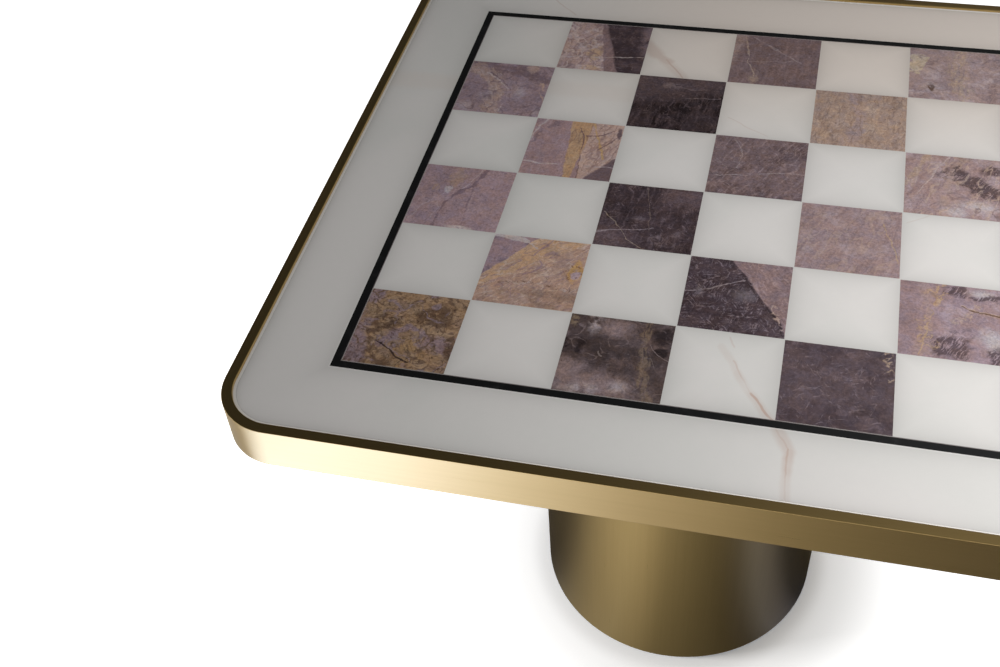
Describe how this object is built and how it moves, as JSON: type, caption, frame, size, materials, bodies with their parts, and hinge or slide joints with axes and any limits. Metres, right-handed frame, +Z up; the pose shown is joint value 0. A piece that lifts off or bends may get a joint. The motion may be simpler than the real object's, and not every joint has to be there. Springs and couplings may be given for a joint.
{
  "type": "chess table",
  "caption": "Low square pedestal games table: inlaid stone top with a chequered field in a brass edge bar, on a round brass-clad drum with levelling glides.",
  "frame": {"origin": "on the floor, under the middle of the square top", "axes": "+Z up; X and Y along the sides of the top, +X to the right and +Y to the back as a player sits at the front side, with a dark square at the near left corner"},
  "size_m": [0.6, 0.6, 0.48],
  "materials": {
    "pale_stone": "polished",
    "violet_stone": "polished",
    "black_stone": "polished",
    "brushed_brass": "brushed and lacquered",
    "turned_brass": "turned",
    "lacquered_wood": "black satin lacquer",
    "dark_steel": "black powder coat",
    "zinc_plated_steel": "bright zinc plate",
    "cast_iron": "as cast, oiled",
    "black_rubber": "matt",
    "dark_nylon": "moulded"
  },
  "bodies": {
    "table": {"ballast_collar": "dark_steel", "ballast_disc_1": "cast_iron", "ballast_disc_2": "cast_iron", "band_tab_back_1": "dark_steel", "band_tab_back_2": "dark_steel", "band_tab_front_1": "dark_steel", "band_tab_front_2": "dark_steel", "band_tab_left_1": "dark_steel", "band_tab_left_2": "dark_steel", "band_tab_right_1": "dark_steel", "band_tab_right_2": "dark_steel", "base_plate": "dark_steel", "black_line_back": "black_stone", "black_line_front": "black_stone", "black_line_left": "black_stone", "black_line_right": "black_stone", "collar_screw": "zinc_plated_steel", "drum_gasket": "black_rubber", "drum_lower_ring": "dark_steel", "drum_shell": "brushed_brass", "drum_upper_ring": "dark_steel", "edge_band": "brushed_brass", "flange_screws": "zinc_plated_steel", "glide_nuts": "dark_steel", "panel_inserts": "turned_brass", "post_foot_flange": "dark_steel", "post_gussets": "dark_steel", "post_tube": "dark_steel", "stone_top": "pale_stone", "tab_screws": "zinc_plated_steel", "top_panel": "lacquered_wood", "top_plate": "dark_steel", "top_plate_bolts": "zinc_plated_steel", "violet_square_a1": "violet_stone", "violet_square_a3": "violet_stone", "violet_square_a5": "violet_stone", "violet_square_b2": "violet_stone", "violet_square_b4": "violet_stone", "violet_square_b6": "violet_stone", "violet_square_c1": "violet_stone", "violet_square_c3": "violet_stone", "violet_square_c5": "violet_stone", "violet_square_d2": "violet_stone", "violet_square_d4": "violet_stone", "violet_square_d6": "violet_stone", "violet_square_e1": "violet_stone", "violet_square_e3": "violet_stone", "violet_square_e5": "violet_stone", "violet_square_f2": "violet_stone", "violet_square_f4": "violet_stone", "violet_square_f6": "violet_stone"},
    "pad_front_left": {"glide_pad_front_left": "dark_nylon"},
    "stem_front_left": {"glide_stem_front_left": "zinc_plated_steel"},
    "pad_front_right": {"glide_pad_front_right": "dark_nylon"},
    "stem_front_right": {"glide_stem_front_right": "zinc_plated_steel"},
    "pad_back_left": {"glide_pad_back_left": "dark_nylon"},
    "stem_back_left": {"glide_stem_back_left": "zinc_plated_steel"},
    "pad_back_right": {"glide_pad_back_right": "dark_nylon"},
    "stem_back_right": {"glide_stem_back_right": "zinc_plated_steel"}
  },
  "joints": [
    {"name": "glide_extend_front_left", "type": "slide", "parent": "table", "child": "pad_front_left", "axis": [0, 0, -1], "range_m": [0, 0.01]},
    {"name": "glide_turn_front_left", "type": "hinge", "parent": "pad_front_left", "child": "stem_front_left", "pos_m": [-0.07085, -0.07085, 0.012], "axis": [0, 0, -1], "range_deg": [0, 2880]},
    {"name": "glide_extend_front_right", "type": "slide", "parent": "table", "child": "pad_front_right", "axis": [0, 0, -1], "range_m": [0, 0.01]},
    {"name": "glide_turn_front_right", "type": "hinge", "parent": "pad_front_right", "child": "stem_front_right", "pos_m": [0.07085, -0.07085, 0.012], "axis": [0, 0, -1], "range_deg": [0, 2880]},
    {"name": "glide_extend_back_left", "type": "slide", "parent": "table", "child": "pad_back_left", "axis": [0, 0, -1], "range_m": [0, 0.01]},
    {"name": "glide_turn_back_left", "type": "hinge", "parent": "pad_back_left", "child": "stem_back_left", "pos_m": [-0.07085, 0.07085, 0.012], "axis": [0, 0, -1], "range_deg": [0, 2880]},
    {"name": "glide_extend_back_right", "type": "slide", "parent": "table", "child": "pad_back_right", "axis": [0, 0, -1], "range_m": [0, 0.01]},
    {"name": "glide_turn_back_right", "type": "hinge", "parent": "pad_back_right", "child": "stem_back_right", "pos_m": [0.07085, 0.07085, 0.012], "axis": [0, 0, -1], "range_deg": [0, 2880]}
  ],
  "couplings": [
    {"joint": "glide_extend_front_left", "follows": "glide_turn_front_left", "m_per_rad": 0.00019894},
    {"joint": "glide_extend_front_right", "follows": "glide_turn_front_right", "m_per_rad": 0.00019894},
    {"joint": "glide_extend_back_left", "follows": "glide_turn_back_left", "m_per_rad": 0.00019894},
    {"joint": "glide_extend_back_right", "follows": "glide_turn_back_right", "m_per_rad": 0.00019894}
  ]
}
